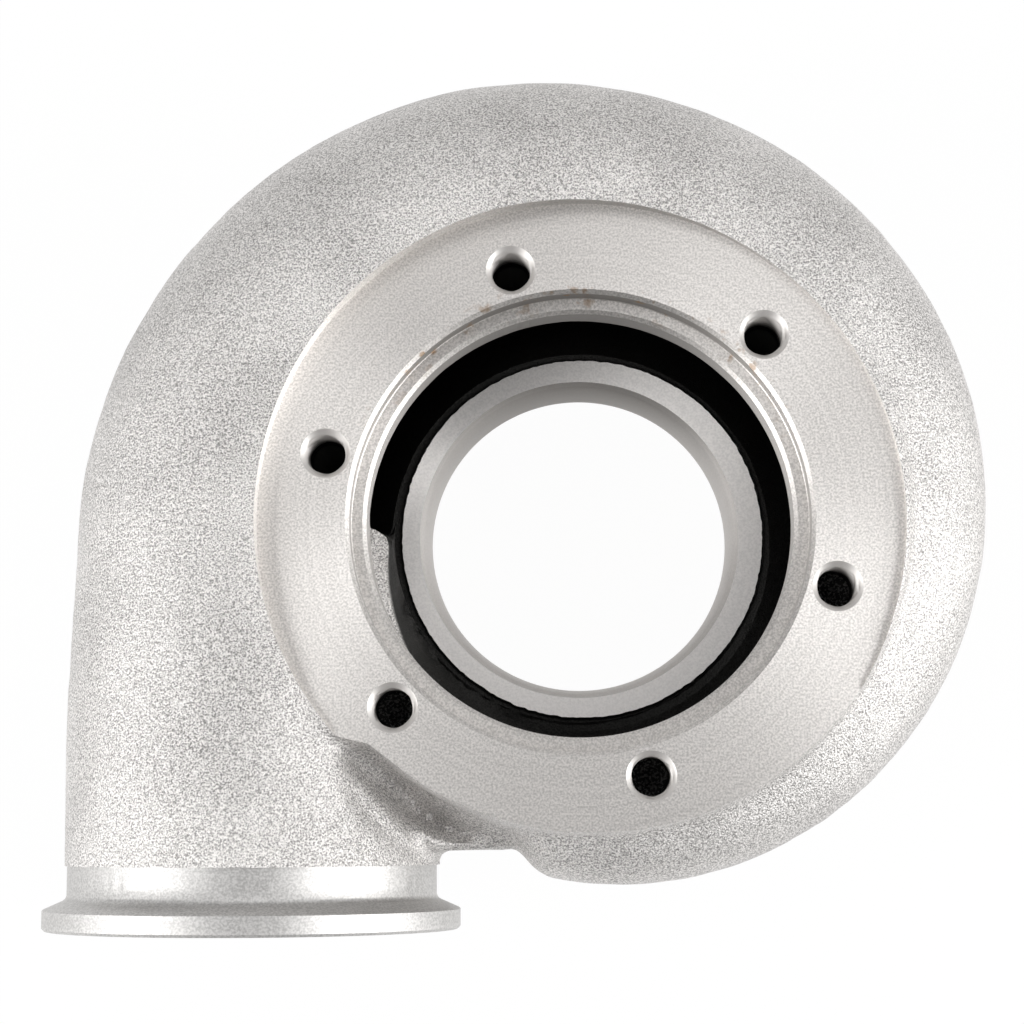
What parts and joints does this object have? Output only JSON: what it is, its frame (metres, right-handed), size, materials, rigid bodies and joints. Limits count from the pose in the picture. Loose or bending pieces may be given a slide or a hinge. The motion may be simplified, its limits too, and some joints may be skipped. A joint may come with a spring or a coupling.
{
  "type": "turbocharger turbine housing",
  "caption": "Cast turbine housing: a tapering scroll feeds exhaust gas through a slot to the wheel, with a turned face for the bearing housing and clamp rims at inlet and outlet.",
  "frame": {"origin": "on the turbine axis, in the plane of the turned face that the bearing housing bolts to", "axes": "+Z along the turbine axis out of the mounting face, so the outlet points along -Z; the inlet duct points along -Y and lies on the -X side"},
  "size_m": [0.1737, 0.1576, 0.0893],
  "materials": {
    "cast_steel": "shot-blasted casting with turned joint faces"
  },
  "bodies": {
    "root": {"turbine_housing": "cast_steel"}
  },
  "joints": []
}
